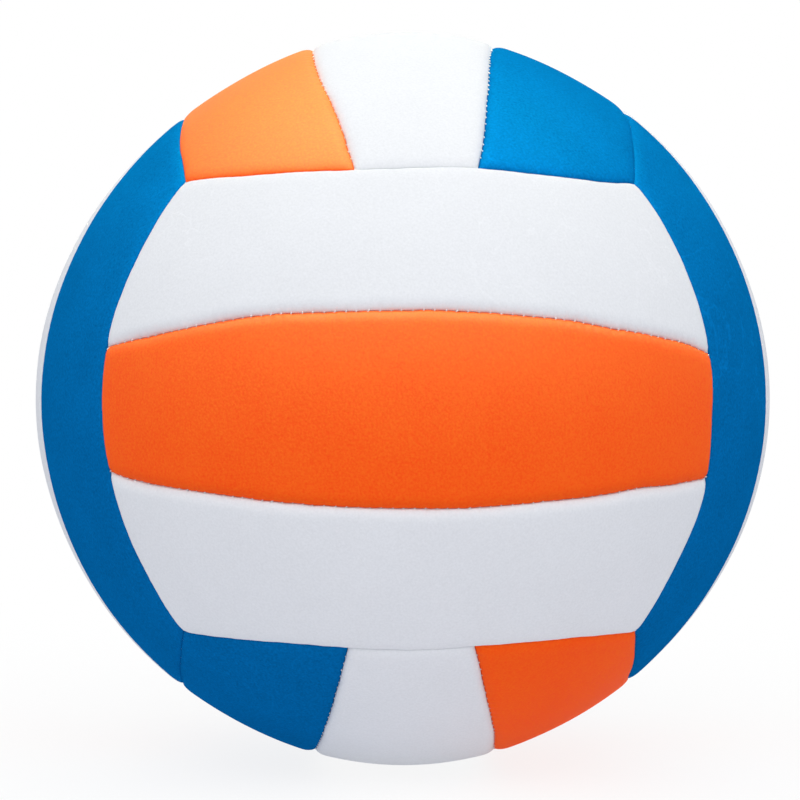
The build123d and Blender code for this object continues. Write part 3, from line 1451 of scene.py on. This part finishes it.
@dataclass
class Stitching:
    """The thread that shows in the valleys: short slanted bars from one turned-in edge to the other."""

    form: CoverForm
    seed: int = 7
    thread_radius: float = 0.18 * MM
    slant: float = 0.40 * MM
    end_clear: float = 1.6 * MM
    sides: int = 6
    # How far single stitches are from even
    along_spread: float = 0.12 * MM
    height_spread: float = 0.07 * MM
    slant_spread: float = 0.35
    thick_spread: float = 0.08
    # Across the valley and above the thread's top, in millimetres
    arch: tuple = (
        (-0.6, -0.6), (-0.4, -0.26), (-0.2, -0.07), (0.0, 0.0), (0.2, -0.07), (0.4, -0.26), (0.6, -0.6),
    )

    def lines(self, kind: SeamKind, draw: np.random.Generator) -> list[SeamLine]:
        """Where the stitches of one kind of seam are.

        Args:
            kind: the kind of seam.
            draw: what their small differences are drawn from.

        Returns:
            One line for each seam, in the ball's axes.
        """
        layout = self.form.layout
        if kind is SeamKind.STRIP:
            length, seam = layout.strip_length, layout.strip_seam
        else:
            length, seam = layout.end_length, layout.end_seam
        count = self.form.stitch_count(length)
        even = (np.arange(count) + 0.5) / count * length - length / 2
        even = even[np.abs(even) < length / 2 - self.end_clear]
        found = []
        for group in GROUPS:
            for strip in (Strip.FIRST, Strip.LAST):
                line = seam(even + draw.normal(0, self.along_spread, len(even)))
                axes = group.axes(strip)
                found.append(SeamLine(line.points @ axes, line.along @ axes, line.across @ axes))
        return found

    def bars(self, kind: SeamKind, line: SeamLine, draw: np.random.Generator) -> Array:
        """The surface points of a seam's stitches, by stitch, place along the bar and side.

        Args:
            kind: the kind of seam.
            line: where the stitches are.
            draw: what their small differences are drawn from.

        Returns:
            The points.
        """
        arch = np.array(self.arch) * MM
        count = len(line.points)
        height = self.form.valley(kind, line.points)[:, None] + kind.value.rise + arch[:, 1]
        height = height + draw.normal(0, self.height_spread, (count, 1))
        slant = self.slant * (1 + draw.normal(0, self.slant_spread, (count, 1)))
        lean = slant * arch[:, 0] / arch[-1, 0]
        base = self.form.moved(line.points)
        middle = base[:, None, :] * height[..., None]
        middle = middle + line.across[:, None, :] * arch[:, 0, None]
        middle = middle + line.along[:, None, :] * lean[..., None]
        onward = np.gradient(middle, axis=1)
        onward /= np.linalg.norm(onward, axis=-1, keepdims=True)
        out = np.cross(onward, line.along[:, None, :])
        out /= np.linalg.norm(out, axis=-1, keepdims=True)
        beside = np.cross(onward, out)
        turn = np.linspace(0, 2 * math.pi, self.sides, endpoint=False)
        thick = self.thread_radius * (1 + draw.normal(0, self.thick_spread, (count, 1, 1, 1)))
        spoke = np.cos(turn)[:, None] * out[:, :, None, :] + np.sin(turn)[:, None] * beside[:, :, None, :]
        return middle[:, :, None, :] + thick * spoke

    def bar_faces(self) -> Array:
        """The faces of one stitch: its sides, then its two six-sided ends, each split in two.

        Returns:
            The faces, as numbers of its points.
        """
        rings = len(self.arch)
        ring = np.arange(rings - 1)[:, None] * self.sides
        here = np.arange(self.sides)[None, :]
        after = (here + 1) % self.sides
        quads = np.stack([ring + here, ring + after, ring + self.sides + after, ring + self.sides + here], -1)
        last = (rings - 1) * self.sides
        ends = [
            [3, 2, 1, 0],
            [5, 4, 3, 0],
            [last, last + 1, last + 2, last + 3],
            [last, last + 3, last + 4, last + 5],
        ]
        return np.concatenate([quads.reshape(-1, 4), np.array(ends)])

    def build(self, wardrobe: Wardrobe) -> None:
        """Builds and dresses the stitches of both kinds of seam.

        Args:
            wardrobe: what dresses them.
        """
        draw = np.random.default_rng(self.seed)
        bar = self.bar_faces()
        for kind in SeamKind:
            thread = kind.value.thread
            bars = np.concatenate([self.bars(kind, line, draw) for line in self.lines(kind, draw)])
            per_bar = bars.shape[1] * bars.shape[2]
            faces = bar[None] + (np.arange(len(bars)) * per_bar)[:, None, None]
            piece = finished_piece(f"{thread}_stitches", bars.reshape(-1, 3), faces.reshape(-1, 4).tolist())
            wardrobe.dress(piece, Fitting.THREAD)
            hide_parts(thread)
            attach(piece, "ball")
            log.info("%s: %d stitches", thread, len(bars))


@dataclass
class Bladder:
    """The rubber bladder: a moulding line round it, a pip at its far pole and a hole for the stem's boss."""

    outer_radius: float = 100.2 * MM
    thickness: float = 1.0 * MM
    hole_radius: float = 6.1 * MM
    line_height: float = 0.13 * MM
    line_width: float = 0.9 * MM
    pip_height: float = 0.1 * MM
    pip_radius: float = 2 * MM
    steps: int = 160
    rows: int = 220
    inner_rows: int = 73

    def build(self, wardrobe: Wardrobe) -> None:
        """Builds and dresses the bladder.

        Args:
            wardrobe: what dresses it.
        """
        inner_radius = self.outer_radius - self.thickness
        profile = []
        for turn in np.linspace(math.asin(self.hole_radius / self.outer_radius), math.pi, self.rows):
            off_line = (turn - math.pi / 2) * self.outer_radius
            off_pole = (math.pi - turn) * self.outer_radius
            bead = self.line_height * math.exp(-((off_line / self.line_width) ** 2))
            pip = self.pip_height * math.exp(-((off_pole / self.pip_radius) ** 4))
            radius = self.outer_radius + bead + pip
            profile.append((radius * math.sin(turn), radius * math.cos(turn)))
        for turn in np.linspace(math.pi, math.asin(self.hole_radius / inner_radius), self.inner_rows):
            profile.append((inner_radius * math.sin(turn), inner_radius * math.cos(turn)))
        piece = turned_piece("bladder_shell", profile, self.steps)
        wardrobe.dress(piece, Fitting.BLADDER)
        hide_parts("bladder")
        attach(piece, "ball")
        log.info("bladder: %d faces", len(piece.data.polygons))


@dataclass
class ValvePatch:
    """The cloth ring between the stem's flange and the foam, with a pinked edge."""

    inner_radius: float = 101.55 * MM
    outer_radius: float = 102.35 * MM
    hole_radius: float = 4.6 * MM
    wide_radius: float = 18.95 * MM
    tooth_depth: float = 0.9 * MM
    teeth: int = 48
    steps_per_tooth: int = 6
    rings: int = 9

    def build(self, wardrobe: Wardrobe) -> None:
        """Builds and dresses the patch.

        Args:
            wardrobe: what dresses it.
        """
        steps = self.teeth * self.steps_per_tooth
        turn = np.linspace(0, 2 * math.pi, steps, endpoint=False)
        tooth = np.abs((turn * self.teeth / (2 * math.pi)) % 1 - 0.5) * 2
        edge = self.wide_radius - self.tooth_depth * tooth
        shares = np.linspace(0, 1, self.rings)
        upper = [self.ring(turn, edge, share, self.outer_radius) for share in shares]
        lower = [self.ring(turn, edge, share, self.inner_radius) for share in shares[::-1]]
        piece = ring_piece("valve_patch_cloth", upper + lower, closed=True)
        wardrobe.dress(piece, Fitting.PATCH)
        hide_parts("valve_patch")
        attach(piece, "ball")
        log.info("valve patch: %d teeth", self.teeth)

    def ring(self, turn: Array, edge: Array, share: float, radius: float) -> Array:
        """A ring on a ball of that radius, at a share of the way from the hole to the pinked edge."""
        wide = self.hole_radius + (edge - self.hole_radius) * share
        return np.stack([wide * np.cos(turn), np.sqrt(radius**2 - wide**2), wide * np.sin(turn)], -1)


@dataclass
class ValveFittings:
    """The valve's stem and plug, which keep their machined shapes."""

    stem: str = "valve_stem"
    plug: str = "valve_plug"

    def build(self, wardrobe: Wardrobe) -> None:
        """Dresses the stem and the plug.

        Args:
            wardrobe: what dresses them.
        """
        wardrobe.dress(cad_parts[self.stem], Fitting.STEM)
        wardrobe.dress(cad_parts[self.plug], Fitting.PLUG)
        log.info("valve: stem and plug")


# The studio


@dataclass(frozen=True)
class SoftBox:
    """A rectangular lamp that faces the ball."""

    name: str
    place: Place
    size: tuple[float, float]
    power: float
    colour: Colour = WHITE
    gloss_only: bool = False

    def build(self) -> None:
        """Builds the lamp."""
        lamp = bpy.data.lights.new(self.name, "AREA")
        lamp.shape = "RECTANGLE"
        lamp.size, lamp.size_y = self.size
        lamp.energy = self.power
        lamp.color = self.colour
        piece = bpy.data.objects.new(self.name, lamp)
        piece.location = self.place
        piece.visible_diffuse = not self.gloss_only
        piece.rotation_euler = (-Vector(self.place)).to_track_quat("-Z", "Y").to_euler()
        bpy.context.scene.collection.objects.link(piece)


@dataclass
class Studio:
    """The plain white floor and backdrop, the soft light and the camera."""

    ambient: Colour = (0.833, 0.847, 0.872)
    lamps: tuple[SoftBox, ...] = (
        SoftBox("key_lamp", (0.0, -1.45, 1.5), (2.6, 1.1), 17.5),
        SoftBox("top_lamp", (0.0, -0.3, 2.0), (2.0, 1.0), 3.5, (1.0, 1.0, 0.75)),
        SoftBox("top_gloss_lamp", (0.0, 0.2, 1.9), (3.0, 1.4), 370.0, (1.0, 1.0, 0.42), gloss_only=True),
        SoftBox("front_gloss_lamp", (0.0, -0.7, 1.8), (3.0, 1.4), 770.0, (1.0, 0.98, 0.78), gloss_only=True),
    )
    floor_bounce: Colour = (0.33, 0.345, 0.40)
    floor_white: Colour = (0.9, 0.9, 0.9)
    floor_glow: float = 0.47
    floor_half: float = 4.0
    shadow_share: float = 0.16
    shadow_reach: float = 0.45
    shadow_core: float = 0.3
    camera_distance: float = 8 * BALL_RADIUS
    camera_azimuth: float = math.radians(-1.58)
    camera_elevation: float = math.radians(2.04)
    camera_roll: float = math.radians(0.19)
    lens: float = 131.2
    sensor_width: float = 36.0
    shift: tuple[float, float] = (-0.00325, -0.00175)

    def seen(self, graph: Graph) -> Value:
        """What the camera sees, straight or through gloss and glass.

        Args:
            graph: the graph that it is used in.

        Returns:
            1 for what is seen, and 0 for light on the ball.
        """
        path = graph.node("ShaderNodeLightPath", {}, {})
        rays = ("Is Camera Ray", "Is Glossy Ray", "Is Transmission Ray")
        camera, glossy, glass = (graph.wrap(path, ray) for ray in rays)
        return (camera + glossy + glass).clamped()

    def build_world(self) -> None:
        """Builds the even light, and the white that the camera sees in its place."""
        world = bpy.data.worlds.new("studio")
        bpy.context.scene.world = world
        world.use_nodes = True
        graph = Graph(world.node_tree)
        light = graph.node("ShaderNodeBackground", {}, {"Color": (*self.ambient, 1.0), "Strength": 1.0})
        white = graph.node("ShaderNodeBackground", {}, {"Color": (*WHITE, 1.0), "Strength": 1.0})
        mixed = graph.mixed(self.seen(graph), light, white)
        graph.node("ShaderNodeOutputWorld", {}, {"Surface": mixed.outputs[0]})

    def build_floor(self) -> None:
        """Builds the floor, which is white to the camera but for the ball's soft shadow."""
        half = self.floor_half
        low = -BALL_RADIUS
        corners = np.array([(-half, -half, low), (half, -half, low), (half, half, low), (-half, half, low)])
        floor = finished_piece("studio_floor", corners, [(0, 1, 2, 3)])
        material, graph = new_graph("floor_white")
        along, away, _ = graph.parts(graph.place())
        off_middle = (along * along + away * away) ** 0.5
        near = 1 - off_middle.smooth(self.shadow_core * self.shadow_reach, self.shadow_reach)
        seen = self.seen(graph)
        tint = graph.blend(self.floor_bounce, self.floor_white, seen)
        paint = graph.node("ShaderNodeBsdfDiffuse", {}, {"Color": tint})
        white = graph.node("ShaderNodeEmission", {}, {"Color": (*WHITE, 1.0), "Strength": 1.0})
        camera = graph.wrap(graph.node("ShaderNodeLightPath", {}, {}), "Is Camera Ray")
        shadow = near * (1 - camera * (1 - self.shadow_share))
        shown = graph.mixed(1 - shadow, paint, white)
        glow_colour = graph.blend(BLACK, WHITE, near)
        glow = graph.node("ShaderNodeEmission", {}, {"Color": glow_colour, "Strength": self.floor_glow})
        lit = graph.node("ShaderNodeAddShader", {}, {0: paint.outputs[0], 1: glow.outputs[0]})
        mixed = graph.mixed(seen, lit, shown)
        graph.node("ShaderNodeOutputMaterial", {}, {"Surface": mixed.outputs[0]})
        floor.data.materials.append(material)

    def build_camera(self) -> None:
        """Builds the camera at the photograph's viewing angle."""
        azimuth, elevation = self.camera_azimuth, self.camera_elevation
        back = Vector((
            math.sin(azimuth) * math.cos(elevation),
            -math.cos(azimuth) * math.cos(elevation),
            math.sin(elevation),
        ))
        level = Vector((0, 0, 1)).cross(back).normalized()
        rise = back.cross(level)
        right = math.cos(self.camera_roll) * level + math.sin(self.camera_roll) * rise
        up = math.cos(self.camera_roll) * rise - math.sin(self.camera_roll) * level
        lens = bpy.data.cameras.new("camera")
        lens.lens = self.lens
        lens.sensor_width = self.sensor_width
        lens.shift_x, lens.shift_y = self.shift
        camera = bpy.data.objects.new("camera", lens)
        turn = Matrix((right, up, back)).transposed().to_4x4()
        camera.matrix_world = Matrix.Translation(back * self.camera_distance) @ turn
        bpy.context.scene.collection.objects.link(camera)
        bpy.context.scene.camera = camera

    def build(self) -> None:
        """Builds the studio."""
        bpy.context.scene.view_settings.view_transform = "Standard"
        self.build_world()
        self.build_floor()
        for lamp in self.lamps:
            lamp.build()
        self.build_camera()
        log.info("studio: floor, %d lamps and camera", len(self.lamps))


def main() -> None:
    """Builds the ball piece by piece, and the studio round it."""
    logging.basicConfig(level=logging.INFO, format="%(name)s: %(message)s")
    wardrobe = Wardrobe()
    form = CoverForm()
    for group in GROUPS:
        for strip, strip_name, skin in zip(Strip, group.strips, group.skins):
            CoverStrip(form, group, strip, f"{group.name}_{strip_name}", skin).build(wardrobe)
    Stitching(form).build(wardrobe)
    Bladder().build(wardrobe)
    ValvePatch().build(wardrobe)
    ValveFittings().build(wardrobe)
    Studio().build()


if __name__ == "__main__":
    main()
